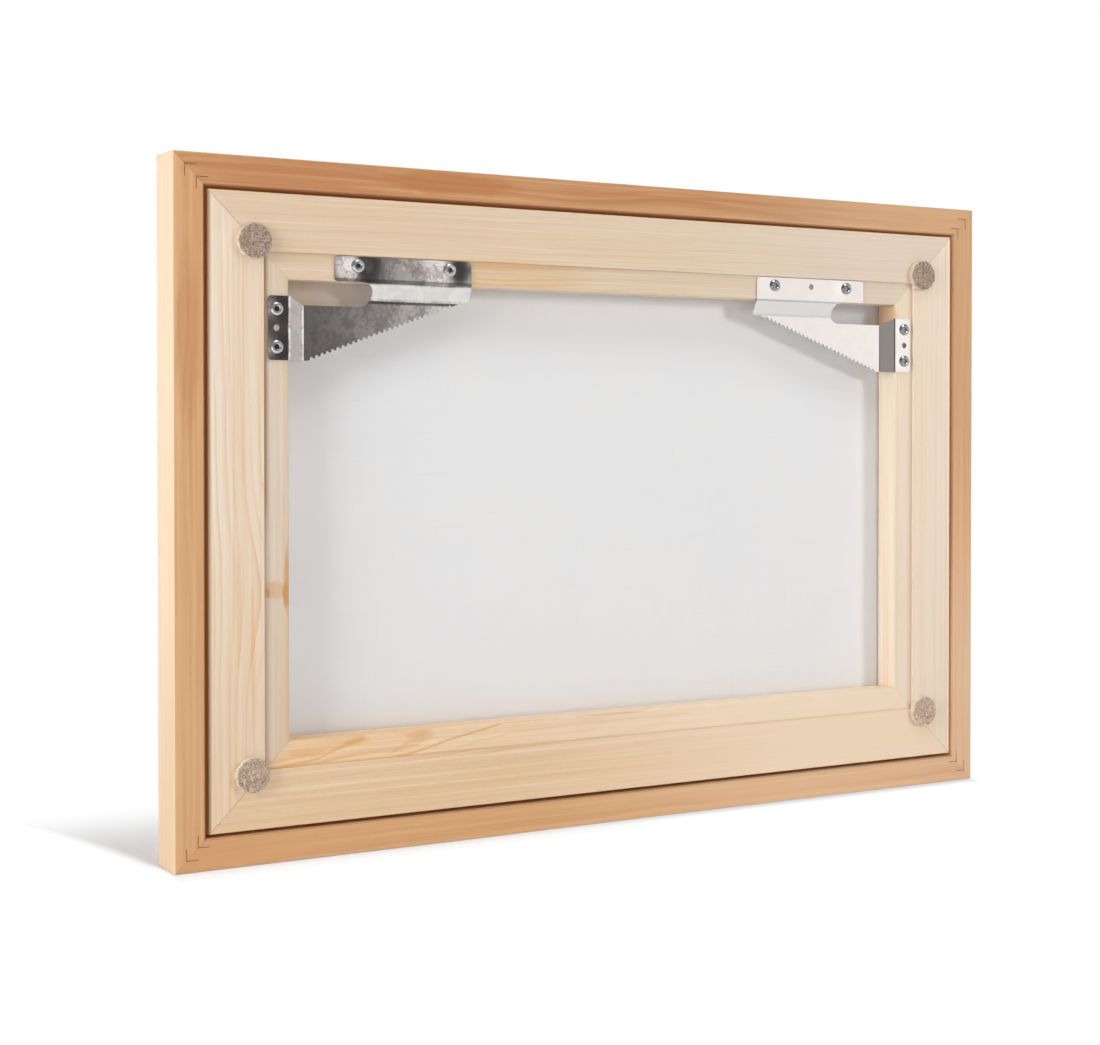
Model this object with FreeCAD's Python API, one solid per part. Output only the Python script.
import FreeCAD, Part
import math
import os

# Framed stretched canvas: a 600 x 400 mm cotton canvas on a mitred pine stretcher,
# held in a mitred alder frame, with two serrated corner hangers and four felt
# wall pads on the back.
#
# Millimetres: +Z up, the canvas faces -Y, the back (hangers and pads) faces +Y,
# +X is to the right when looking at the canvas face. The origin is the bottom
# centre of the bounding box.
#
# Helper coordinates:
#   s  along a rail, from its middle
#   u  inward from the outer edge of the alder frame
#   v  depth, from the plane of the frame's back face towards the front
#   a  at a corner, inward from the nearer side edge of the frame
#   b  at a corner, inward from the nearer top or bottom edge of the frame

Vector = FreeCAD.Vector

# ---------------------------------------------------------------- overall sizes
STRETCHER_W = 600.0
STRETCHER_H = 400.0
STRETCHER_OUT = 22.0       # u of the stretcher's outer edge
FRAME_W = STRETCHER_W + 2 * STRETCHER_OUT
FRAME_H = STRETCHER_H + 2 * STRETCHER_OUT
HALF_W = FRAME_W / 2.0
HALF_H = FRAME_H / 2.0
FRAME_DEPTH = 32.0         # alder rail, back to front
PAD_STAND_OFF = 4.0        # the felt pads stand proud of the alder back face
Y_BACK = (FRAME_DEPTH - PAD_STAND_OFF) / 2.0   # plane of the alder back face

SIDES = ("top", "bottom", "left", "right")
# x direction of the corner, whether it is at the top
CORNERS = {
    "top_left": (-1, True), "top_right": (1, True),
    "bottom_left": (-1, False), "bottom_right": (1, False),
}

# ---------------------------------------------------------------- rail sections
RAIL_BACK_W = 20.0         # width of the alder rail's back face
LIP_W = 26.0               # width of its front face, lip included
RABBET_DEPTH = 24.0        # from the back face to the lip

# (u, v) points and the round at each one
ALDER_SECTION = [(0.0, 0.0), (RAIL_BACK_W, 0.0), (RAIL_BACK_W, RABBET_DEPTH),
                 (LIP_W, RABBET_DEPTH), (LIP_W, FRAME_DEPTH), (0.0, FRAME_DEPTH)]
ALDER_ROUNDS = [0.8, 0.7, 0.0, 0.4, 1.6, 1.2]

STEP_U = 59.0              # where the flat back drops to the inner strip
OPENING_U = 76.0           # opening rim
PINE_BACK = 0.5            # v of the flat back
STRIP_V = 2.0              # v of the inner strip
BEAD_V = 22.5              # crest of the front bead, which carries the canvas
CLEAR_V = 21.3             # front face inside the bead, clear of the canvas
BEAD_IN = STRETCHER_OUT + 9.0   # inner edge of the bead's flat crest
BEAD_FOOT = BEAD_IN + 3.0       # foot of the slope inside the bead

PINE_SECTION = [(STRETCHER_OUT, PINE_BACK), (STEP_U, PINE_BACK), (STEP_U, STRIP_V),
                (OPENING_U, STRIP_V), (OPENING_U, CLEAR_V), (BEAD_FOOT, CLEAR_V),
                (BEAD_IN, BEAD_V), (STRETCHER_OUT, BEAD_V)]
PINE_ROUNDS = [0.8, 0.45, 0.0, 0.9, 0.9, 0.0, 0.6, 1.0]

MITRE_REACH = 90.0         # u the mitre wedge extends to
MITRE_OVERRUN = 1.0        # wedge past the rail's outer edge, keeps the faces clean
MITRE_V = (-10.0, 60.0)    # v range of the wedge


# ---------------------------------------------------------------- helpers
def unit(start, end):
    """Unit direction between two 2-D points."""
    dx, dy = end[0] - start[0], end[1] - start[1]
    length = math.hypot(dx, dy)
    return dx / length, dy / length


def rounded_wire(points, radii, place):
    """Closed wire through 2-D points with a round of the given radius at each one."""
    count = len(points)
    corners = []
    for i in range(count):
        point, radius = points[i], radii[i]
        if radius <= 0:
            corners.append((point, None, point))
            continue
        back = unit(point, points[i - 1])
        ahead = unit(point, points[(i + 1) % count])
        cosine = max(-1.0, min(1.0, back[0] * ahead[0] + back[1] * ahead[1]))
        half = math.acos(cosine) / 2.0
        setback = radius / math.tan(half)
        gap = radius / math.sin(half) - radius
        inward = unit((0.0, 0.0), (back[0] + ahead[0], back[1] + ahead[1]))
        corners.append(tuple(
            (point[0] + way[0] * reach, point[1] + way[1] * reach)
            for way, reach in ((back, setback), (inward, gap), (ahead, setback))))
    edges = []
    for i in range(count):
        start, middle, end = corners[i]
        following = corners[(i + 1) % count][0]
        if middle is not None:
            edges.append(Part.Arc(place(*start), place(*middle), place(*end)).toShape())
        if math.hypot(end[0] - following[0], end[1] - following[1]) > 1e-6:
            edges.append(Part.makeLine(place(*end), place(*following)))
    return Part.Wire(edges)


def path_wire(start, steps, place):
    """Wire from 2-D steps: [end] draws a line, [middle, end] an arc."""
    edges = []
    here = start
    for step in steps:
        stops = [place(*point) for point in [here] + step]
        if len(stops) == 3:
            edges.append(Part.Arc(*stops).toShape())
        else:
            edges.append(Part.makeLine(*stops))
        here = step[-1]
    return Part.Wire(edges)


def polygon_face(points):
    return Part.Face(Part.makePolygon(points + [points[0]]))


def rail_point(side, s, u, v):
    """Rail coordinates to the model frame."""
    y = Y_BACK - v
    if side == "bottom":
        return Vector(s, y, u)
    if side == "top":
        return Vector(s, y, FRAME_H - u)
    if side == "left":
        return Vector(-HALF_W + u, y, HALF_H + s)
    return Vector(HALF_W - u, y, HALF_H + s)


def corner_point(corner, a, b, v):
    """Corner coordinates to the model frame."""
    sign, top = CORNERS[corner]
    return Vector(sign * (HALF_W - a), Y_BACK - v, FRAME_H - b if top else b)


def box_between(p, q):
    low = Vector(min(p.x, q.x), min(p.y, q.y), min(p.z, q.z))
    high = Vector(max(p.x, q.x), max(p.y, q.y), max(p.z, q.z))
    return Part.makeBox(high.x - low.x, high.y - low.y, high.z - low.z, low)


def one_solid(shape):
    solids = [solid for solid in shape.Solids if solid.Volume > 1e-3]
    if len(solids) != 1:
        raise RuntimeError("expected one solid, got %d" % len(solids))
    return solids[0]


def cut_all(shape, tools):
    """Cuts the tools whose bounding boxes meet the shape's."""
    tools = [tool for tool in tools if tool.BoundBox.intersect(shape.BoundBox)]
    if not tools:
        return shape
    return one_solid(shape.cut(Part.makeCompound(tools)))


def write(name, shape):
    if isinstance(shape, list):
        shape = Part.makeCompound(shape)
    if not shape.isValid():
        raise RuntimeError(name + " is not valid")
    shape.exportStep("parts/%s.step" % name)


# ---------------------------------------------------------------- rails
def rail(side, section, rounds):
    """A mitred rail: the section runs along the side and is cut at 45 degrees."""
    half = HALF_W if side in ("bottom", "top") else HALF_H
    wire = rounded_wire(section, rounds, lambda u, v: rail_point(side, -half, u, v))
    run = rail_point(side, half, 0, 0) - rail_point(side, -half, 0, 0)
    bar = Part.Face(wire).extrude(run)
    outer = half + MITRE_OVERRUN
    inner = half - MITRE_REACH
    trapezoid = [(-outer, -MITRE_OVERRUN), (outer, -MITRE_OVERRUN),
                 (inner, MITRE_REACH), (-inner, MITRE_REACH)]
    v_start, v_end = MITRE_V
    wedge = polygon_face([rail_point(side, s, u, v_start) for s, u in trapezoid]).extrude(
        rail_point(side, 0, 0, v_end) - rail_point(side, 0, 0, v_start))
    return one_solid(bar.common(wedge))


# ---------------------------------------------------------------- V-nails
NAIL_T = 0.7               # sheet thickness
NAIL_LEN = 12.0            # how deep a V-nail is driven
NAIL_SUNK = 0.25           # set below the wood surface
SLOT_START = -1.0          # the slots in the wood open from this v
# apexes: distance from both outer edges; leg: length; wood_back: v of the wood's back
FRAME_NAILS = dict(apexes=(7.1, 14.6), leg=8.0, wood_back=0.0)
STRETCHER_NAILS = dict(apexes=(48.0, 51.5), leg=7.0, wood_back=PINE_BACK)


def v_nail(corner, apex, leg, v_start, v_end):
    """An L of thin steel whose apex lies on the mitre and whose legs bite one rail each."""
    tip, inner = apex + leg, apex + NAIL_T
    outline = [(apex, apex), (tip, apex), (tip, inner), (inner, inner),
               (inner, tip), (apex, tip)]
    face = polygon_face([corner_point(corner, a, b, v_start) for a, b in outline])
    return face.extrude(Vector(0, v_start - v_end, 0))


def v_nails(corner, apexes, leg, wood_back):
    start = wood_back + NAIL_SUNK
    return [v_nail(corner, apex, leg, start, start + NAIL_LEN) for apex in apexes]


def v_nail_slots(apexes, leg, wood_back):
    end = wood_back + NAIL_SUNK + NAIL_LEN
    return [v_nail(corner, apex, leg, SLOT_START, end)
            for corner in CORNERS for apex in apexes]


# ---------------------------------------------------------------- screws
FLANGE_V = 1.0             # back face of the hanger flanges, under the screw heads
HEAD_R = 4.2
HEAD_TOP = FLANGE_V - 1.7
SHANK_R = 1.75
SCREW_TIP = FLANGE_V + 15.0
SHANK_END = SCREW_TIP - 3.0    # the point starts here
SOCKET_R = 1.75            # across the hexagon's corners, halved
SOCKET_DEPTH = 1.4
SOCKET_OVERRUN = 0.5       # socket cutter above the head
PILOT_START = -1.0         # the pilot cutters start at this v

# (a, b) of the hanger's holes; the middle one of each three holds no screw
TOP_HOLES = [(123.3 + 33.0 * i, 65.4) for i in range(3)]
SIDE_HOLES = [(67.5, 94.6 + 12.0 * i) for i in range(3)]
TOP_SCREWS = TOP_HOLES[::2]
SIDE_SCREWS = SIDE_HOLES[::2]


def turned(face):
    """Revolves a half section about the Y axis."""
    return one_solid(face.revolve(Vector(0, 0, 0), Vector(0, 1, 0), 360))


def screw(corner, a, b):
    """Pan-head wood screw with a hexagon socket, driven towards the front."""
    # (radius, v)
    outline = [(0.0, HEAD_TOP), (HEAD_R - 1.0, HEAD_TOP), (HEAD_R, HEAD_TOP + 0.9),
               (HEAD_R, FLANGE_V), (SHANK_R, FLANGE_V), (SHANK_R, SHANK_END),
               (0.0, SCREW_TIP)]
    rounds = [0, 0.9, 0.5, 0, 0, 0, 0]
    body = turned(Part.Face(rounded_wire(outline, rounds, lambda r, v: Vector(r, -v, 0))))
    angles = [math.radians(60 * i) for i in range(6)]
    hexagon = [Vector(SOCKET_R * math.cos(angle), SOCKET_OVERRUN - HEAD_TOP,
                      SOCKET_R * math.sin(angle)) for angle in angles]
    socket = polygon_face(hexagon).extrude(Vector(0, -SOCKET_OVERRUN - SOCKET_DEPTH, 0))
    # conical lead-in of the socket
    cone = Part.makeCone(2.3, 1.5, 0.8, Vector(0, -HEAD_TOP, 0), Vector(0, -1, 0))
    body = one_solid(body.cut(socket).cut(cone))
    body.translate(corner_point(corner, a, b, 0.0))
    return body


def pilot(corner, a, b):
    """The hole in the wood: the same outline as the shank."""
    outline = [(0, PILOT_START), (SHANK_R, PILOT_START), (SHANK_R, SHANK_END), (0, SCREW_TIP)]
    body = turned(polygon_face([Vector(r, -v, 0) for r, v in outline]))
    body.translate(corner_point(corner, a, b, 0.0))
    return body


# ---------------------------------------------------------------- hangers
SHEET = 1.0                # sheet steel thickness
WEB_V = 6.5                # back face of the recessed web
BEND_R = 4.2               # bend radius at mid sheet
TOP_EDGE = 59.5            # b of the top flange's outer edge
SIDE_EDGE = 61.9           # a of the side flange's outer edge
UPPER_BEND = 76.2          # where the sheet leaves the flange, a or b
LOWER_BEND = 87.1          # where it reaches the web
SKIN_END = 93.0            # inner end of the bent skins before trimming
JOIN = 88.6                # where the web plate takes over from the bent skins
LAP_END = JOIN + 0.6       # the skins lap over the web plate up to here
TOP_A0, TOP_A1 = 107.3, 205.3      # ends of the top flange
SIDE_B0, SIDE_B1 = 86.3, 126.9     # ends of the side flange
TOP_ROUND = 2.7            # outer corners of the top flange
SIDE_ROUND = 2.1           # outer corners of the side flange
NECK_ROUND = 2.2           # corner of the top flange beside the cut-out
CUTOUT_R = 8.4             # round end of the corner cut-out
CUTOUT_A = 126.5           # its centre
WEB_TOP = 91.5             # web edge under the cut-out
CUTOUT_B = WEB_TOP - CUTOUT_R
CUTOUT_TOP = UPPER_BEND - 0.4      # flange edge above the cut-out
TIP = (198.6, 87.3)        # (a, b) ends of the serrated edge
HEEL = (90.7, SIDE_B1)
# blanks that the outlines trim
TOP_BLANK_A = (100.0, 210.0)
SIDE_BLANK_B = (80.0, 132.0)
WEB_BLANK_A = (87.0, 203.0)
WEB_BLANK_B = (86.0, 130.0)
CUTTER_V = -5.0            # cutters start here
CUTTER_RUN = 25.0
TOOTH_PITCH = 3.9
TOOTH_FIRST = 3.0          # first notch centre, from the heel
TOOTH_COUNT = 28
# one notch: along the edge from its centre, depth into the web
NOTCH = [(-1.75, -0.5), (-0.55, 1.55), (0.55, 1.55), (1.75, -0.5)]
HOLE_R = 2.1
HOLE_CUT_LEN = 20.0


def sheet_section(points, place):
    """Face of a bent sheet from its mid-line points."""
    inner, outer = BEND_R - SHEET / 2, BEND_R + SHEET / 2
    normals = []
    for start, end in zip(points, points[1:]):
        dx, dy = unit(start, end)
        normals.append((-dy, dx))
    last = len(points) - 1
    left, right, left_radii, right_radii = [], [], [], []
    for i, (x, y) in enumerate(points):
        before = normals[max(i - 1, 0)]
        after = normals[min(i, last - 1)]
        mx, my = before[0] + after[0], before[1] + after[1]
        scale = (SHEET / 2) / (mx * before[0] + my * before[1])
        left.append((x + mx * scale, y + my * scale))
        right.append((x - mx * scale, y - my * scale))
        if i in (0, last):
            radii = (0.0, 0.0)
        elif before[0] * after[1] - before[1] * after[0] > 0:
            radii = (inner, outer)
        else:
            radii = (outer, inner)
        left_radii.append(radii[0])
        right_radii.append(radii[1])
    return Part.Face(rounded_wire(left + right[::-1], left_radii + right_radii[::-1], place))


def serrated_a(b):
    """a of the serrated edge's straight line at b."""
    return HEEL[0] + (b - HEEL[1]) * (TIP[0] - HEEL[0]) / (TIP[1] - HEEL[1])


def cutout_a(b):
    """a of the cut-out's round end at b."""
    return CUTOUT_A + math.sqrt(CUTOUT_R ** 2 - (b - CUTOUT_B) ** 2)


def top_outline(place):
    """Top flange and its bend, down to the lap with the web."""
    inset = 1 - math.sqrt(0.5)     # middle of a quarter round, as a share of its radius
    top_in = inset * TOP_ROUND
    neck_in = inset * NECK_ROUND
    start = (TOP_A0, CUTOUT_TOP - NECK_ROUND)
    return path_wire(start, [
        [(TOP_A0, TOP_EDGE + TOP_ROUND)],
        [(TOP_A0 + top_in, TOP_EDGE + top_in), (TOP_A0 + TOP_ROUND, TOP_EDGE)],
        [(TOP_A1 - TOP_ROUND, TOP_EDGE)],
        [(TOP_A1 - top_in, TOP_EDGE + top_in), (TOP_A1, TOP_EDGE + TOP_ROUND)],
        [(TOP_A1 + 0.3, TIP[1] - 1.4)],
        [(TOP_A1 - 0.15, TIP[1] - 0.42), (TOP_A1 - 1.1, TIP[1])],
        [TIP],
        [(serrated_a(LAP_END), LAP_END)],
        [(cutout_a(LAP_END), LAP_END)],
        [(cutout_a(88.2), 88.2), (cutout_a(LOWER_BEND), LOWER_BEND)],
        [(CUTOUT_A + CUTOUT_R, UPPER_BEND + 7.3), (CUTOUT_A, CUTOUT_TOP)],
        [(TOP_A0 + NECK_ROUND, CUTOUT_TOP)],
        [(TOP_A0 + neck_in, CUTOUT_TOP - neck_in), start],
    ], place)


def side_outline(place):
    """Side flange and its bend, across to the lap with the web."""
    points = [(SIDE_EDGE, SIDE_B0), (UPPER_BEND, SIDE_B0), (LOWER_BEND, WEB_TOP),
              (LAP_END, WEB_TOP), (LAP_END, SIDE_B1), (SIDE_EDGE, SIDE_B1)]
    return rounded_wire(points, [SIDE_ROUND, 0, 0, 0, 0, SIDE_ROUND], place)


def web_outline(place):
    """Flat web between the two joins and the serrated edge."""
    start = (JOIN, SIDE_B1)
    return path_wire(start, [
        [(JOIN, WEB_TOP)],
        [(CUTOUT_A, WEB_TOP)],
        [(cutout_a(90.4), 90.4), (cutout_a(JOIN), JOIN)],
        [(serrated_a(JOIN), JOIN)],
        [HEEL],
        [start],
    ], place)


def hanger(corner):
    """Bent triangular plate: two flanges, a recessed web and a serrated long edge."""
    def at(a, b, v=CUTTER_V):
        return corner_point(corner, a, b, v)

    def trimmer(wire):
        return Part.Face(wire).extrude(Vector(0, -CUTTER_RUN, 0))

    flange_mid, web_mid = FLANGE_V + SHEET / 2, WEB_V + SHEET / 2
    profile = [(TOP_EDGE, flange_mid), (UPPER_BEND, flange_mid),
               (LOWER_BEND, web_mid), (SKIN_END, web_mid)]
    a0, a1 = TOP_BLANK_A
    top_skin = sheet_section(profile, lambda b, v: at(a0, b, v)).extrude(at(a1, 0) - at(a0, 0))
    b0, b1 = SIDE_BLANK_B
    side_skin = sheet_section(profile, lambda a, v: at(a, b0, v)).extrude(at(0, b1) - at(0, b0))
    web_plate = box_between(at(WEB_BLANK_A[0], WEB_BLANK_B[0], WEB_V),
                            at(WEB_BLANK_A[1], WEB_BLANK_B[1], WEB_V + SHEET))
    body = top_skin.common(trimmer(top_outline(at)))
    body = body.fuse([side_skin.common(trimmer(side_outline(at))),
                      web_plate.common(trimmer(web_outline(at)))])
    body = body.removeSplitter()

    # even teeth with flat crests and valleys, then the screw holes
    along_a, along_b = unit(HEEL, TIP)
    into_a, into_b = along_b, -along_a     # towards the web
    cuts = []
    for i in range(TOOTH_COUNT):
        centre = TOOTH_FIRST + TOOTH_PITCH * i
        notch = [at(HEEL[0] + along_a * (centre + offset) + into_a * depth,
                    HEEL[1] + along_b * (centre + offset) + into_b * depth)
                 for offset, depth in NOTCH]
        cuts.append(polygon_face(notch).extrude(Vector(0, -CUTTER_RUN, 0)))
    for a, b in TOP_HOLES + SIDE_HOLES:
        cuts.append(Part.makeCylinder(HOLE_R, HOLE_CUT_LEN, at(a, b), Vector(0, -1, 0)))
    return one_solid(body.cut(Part.makeCompound(cuts)))


# ---------------------------------------------------------------- canvas
CANVAS_T = 0.5
CANVAS_FIT = 0.02          # cloth stays this clear of the wood
CANVAS_TURN = 11.0         # v where the turned-over sides end
CANVAS_IN = STRETCHER_OUT - CANVAS_FIT     # u of the cloth's inner face at the sides
CANVAS_OUT = CANVAS_IN - CANVAS_T          # u of its outer face
CANVAS_BACK = BEAD_V + CANVAS_FIT          # v of the cloth's back face
CANVAS_FRONT = CANVAS_BACK + CANVAS_T      # v of its front face
CANVAS_ROUND = 0.9         # inner round where the cloth turns over the bead


def canvas_block(u, v_start, v_end, radius):
    """Box inset by u on all sides, rounded along its front edges."""
    box = box_between(Vector(-HALF_W + u, Y_BACK - v_start, u),
                      Vector(HALF_W - u, Y_BACK - v_end, FRAME_H - u))
    front = Y_BACK - v_end
    edges = [edge for edge in box.Edges
             if all(abs(edge.Vertexes[i].Point.y - front) < 1e-6 for i in (0, 1))]
    return box.makeFillet(radius, edges)


def canvas():
    """Cloth drawn over the bead and turned down the stretcher's sides, a tray-shaped skin."""
    outer = canvas_block(CANVAS_OUT, CANVAS_TURN, CANVAS_FRONT, CANVAS_ROUND + CANVAS_T)
    inner = canvas_block(CANVAS_IN, -1.0, CANVAS_BACK, CANVAS_ROUND)
    return one_solid(outer.cut(inner))


# ---------------------------------------------------------------- staples
STAPLE_HALF = 11.0 / 2     # half the crown's length
STAPLE_WIRE_W = 1.0
STAPLE_WIRE_T = 0.6
STAPLE_LEG = 8.0
STAPLE_V = 15.0            # back face of the staple rows
STAPLE_PITCH = 60.0
STAPLE_ENDS = 60.0         # length left out of the row, both ends together


def staple_stations(side):
    """s of each staple on a side."""
    length = STRETCHER_W if side in ("top", "bottom") else STRETCHER_H
    count = int(round((length - STAPLE_ENDS) / STAPLE_PITCH)) + 1
    return [(i - (count - 1) / 2.0) * STAPLE_PITCH for i in range(count)]


def wire_box(side, s0, s1, u0, u1):
    """Straight piece of staple wire."""
    return box_between(rail_point(side, s0, u0, STAPLE_V),
                       rail_point(side, s1, u1, STAPLE_V + STAPLE_WIRE_W))


def staple_legs(side, s):
    """Two legs; they start 0.01 inside the crown so the solids overlap."""
    return [wire_box(side, s + end * STAPLE_HALF, s + end * (STAPLE_HALF - STAPLE_WIRE_T),
                     CANVAS_OUT - 0.01, CANVAS_OUT + STAPLE_LEG)
            for end in (-1, 1)]


def staple(side, s):
    """Crown on the cloth, two legs through it into the stretcher's side."""
    crown = wire_box(side, s - STAPLE_HALF, s + STAPLE_HALF,
                     CANVAS_OUT - STAPLE_WIRE_T, CANVAS_OUT)
    return one_solid(crown.fuse(staple_legs(side, s)).removeSplitter())


# ---------------------------------------------------------------- foam tape
TAPE_OUT, TAPE_IN = 22.2, 25.7     # u of the tape's edges
TAPE_ROW_END = TAPE_OUT + 4.0      # top and bottom strips end this far from the side edges
TAPE_COLUMN_END = TAPE_IN + 2.0    # side strips end this far from the top and bottom edges


def tape(side):
    """Foam strip between the canvas margin and the frame lip."""
    half = HALF_W - TAPE_ROW_END if side in ("top", "bottom") else HALF_H - TAPE_COLUMN_END
    return box_between(rail_point(side, -half, TAPE_OUT, CANVAS_FRONT),
                       rail_point(side, half, TAPE_IN, RABBET_DEPTH))


# ---------------------------------------------------------------- felt pads
PAD_R = 11.0
PAD_ROUND = 0.7
PAD_TOP = (52.0, 53.0)     # (a, b) of the pad centres
PAD_BOTTOM = (50.0, 57.0)


def pad(corner):
    """Felt disc on the stretcher's flat back, its rear rim rounded."""
    a, b = PAD_TOP if CORNERS[corner][1] else PAD_BOTTOM
    base = corner_point(corner, a, b, PINE_BACK)
    height = PINE_BACK + PAD_STAND_OFF
    disc = Part.makeCylinder(PAD_R, height, base, Vector(0, 1, 0))
    rim = [edge for edge in disc.Edges
           if len(edge.Vertexes) == 1
           and abs(edge.Vertexes[0].Point.y - (base.y + height)) < 1e-6]
    return disc.makeFillet(PAD_ROUND, rim)


# ---------------------------------------------------------------- write the pieces
os.makedirs("parts", exist_ok=True)

frame_slots = v_nail_slots(**FRAME_NAILS)
stretcher_slots = v_nail_slots(**STRETCHER_NAILS)
pilots = [pilot(corner, a, b) for corner in ("top_left", "top_right")
          for a, b in TOP_SCREWS + SIDE_SCREWS]
staple_cuts = [leg for side in SIDES for s in staple_stations(side)
               for leg in staple_legs(side, s)]

for side in SIDES:
    write("frame_bar_" + side, cut_all(rail(side, ALDER_SECTION, ALDER_ROUNDS), frame_slots))
    write("stretcher_bar_" + side, cut_all(rail(side, PINE_SECTION, PINE_ROUNDS),
                                           stretcher_slots + pilots + staple_cuts))
    write("canvas_staples_" + side, [staple(side, s) for s in staple_stations(side)])
    write("rabbet_tape_" + side, tape(side))

write("canvas", cut_all(canvas(), staple_cuts))

for corner in CORNERS:
    write("frame_v_nails_" + corner, v_nails(corner, **FRAME_NAILS))
    write("stretcher_v_nails_" + corner, v_nails(corner, **STRETCHER_NAILS))
    write("felt_pad_" + corner, pad(corner))

for word in ("left", "right"):
    corner = "top_" + word
    write("hanger_plate_" + word, hanger(corner))
    for row, places in (("top", TOP_SCREWS), ("side", SIDE_SCREWS)):
        write("hanger_screws_%s_%s" % (word, row), [screw(corner, a, b) for a, b in places])
